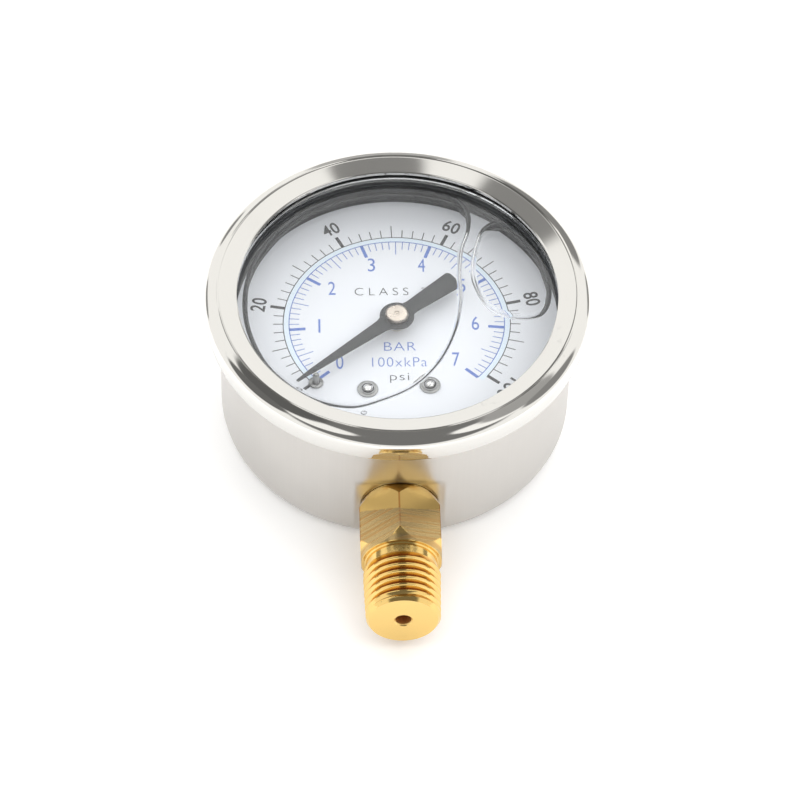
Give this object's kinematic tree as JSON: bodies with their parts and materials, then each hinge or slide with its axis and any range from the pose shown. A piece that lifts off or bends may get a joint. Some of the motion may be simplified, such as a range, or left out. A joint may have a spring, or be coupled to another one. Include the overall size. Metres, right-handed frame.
{
  "type": "pressure gauge",
  "caption": "Liquid-filled round pressure gauge with a crimped bezel, a geared Bourdon movement and a tapered threaded stem at the bottom.",
  "frame": {"origin": "centre of the outer face of the case back, on the dial's axis", "axes": "+Z out of the dial towards the reader, +Y towards 12 o'clock on the dial, -Y along the threaded stem, +X towards 3 o'clock"},
  "size_m": [0.069, 0.09, 0.0317],
  "materials": {
    "case_stainless": "satin drawn stainless steel",
    "bezel_polished": "polished stainless steel",
    "window_clear": "clear polycarbonate",
    "black_rubber": "matt black rubber",
    "dial_white": "white enamel on aluminium with printed scales",
    "movement_brass": "machined brass",
    "stem_brass": "bright turned brass",
    "tube_bronze": "phosphor bronze",
    "small_steel": "bright nickel-plated steel",
    "pointer_dark": "black-painted aluminium",
    "fill_liquid": "clear glycerine",
    "print_black": "black printing ink",
    "print_blue": "blue printing ink"
  },
  "bodies": {
    "gauge_case": {"case": "case_stainless", "bezel_ring": "bezel_polished", "window": "window_clear", "window_seal": "black_rubber", "dial_plate": "dial_white", "dial_spacer_left": "movement_brass", "dial_spacer_right": "movement_brass", "dial_washer_left": "small_steel", "dial_washer_right": "small_steel", "dial_screw_left": "small_steel", "dial_screw_right": "small_steel", "stop_pin": "small_steel", "socket_stem": "stem_brass", "stem_seal": "black_rubber", "port_restrictor": "stem_brass", "fill_plug": "black_rubber", "bourdon_tube": "tube_bronze", "movement_back_plate": "movement_brass", "movement_front_plate": "movement_brass", "movement_pillar_1": "movement_brass", "movement_pillar_2": "movement_brass", "movement_pillar_3": "movement_brass", "movement_screw_1": "small_steel", "movement_screw_2": "small_steel", "hairspring": "tube_bronze", "hairspring_stud": "movement_brass"},
    "pointer": {"pinion_arbor": "small_steel", "pointer": "pointer_dark", "pointer_hub": "movement_brass", "pointer_flange": "small_steel", "pointer_cap": "small_steel"},
    "sector": {"sector_gear": "movement_brass", "sector_arbor": "small_steel", "link_pivot_pin": "small_steel"},
    "link": {"link": "movement_brass"},
    "tube_tip": {"tube_tip": "movement_brass", "link_tip_pin": "small_steel"}
  },
  "joints": [
    {"name": "sector_swing", "type": "hinge", "parent": "gauge_case", "child": "sector", "pos_m": [0.0082, -0.0104, 0.0138], "axis": [0, 0, 1], "range_deg": [0, 27], "stiffness_Nm_per_rad": 0.02, "deforming": ["bourdon_tube"]},
    {"name": "pointer_turn", "type": "hinge", "parent": "gauge_case", "child": "pointer", "pos_m": [0, 0, 0.0215], "axis": [0, 0, -1], "range_deg": [0, 270]},
    {"name": "link_turn", "type": "hinge", "parent": "sector", "child": "link", "pos_m": [0.01285, -0.01465, 0.01275], "axis": [0, 0, 1], "range_deg": [-27, 0]},
    {"name": "tip_swing", "type": "hinge", "parent": "gauge_case", "child": "tube_tip", "pos_m": [-0.00283, 0.0049, 0.0074], "axis": [0, 0, 1], "range_deg": [0, 7.26]}
  ],
  "couplings": [
    {"joint": "pointer_turn", "follows": "sector_swing", "ratio": 10},
    {"joint": "link_turn", "follows": "sector_swing", "ratio": -1},
    {"joint": "tip_swing", "follows": "sector_swing", "ratio": 0.26865}
  ]
}
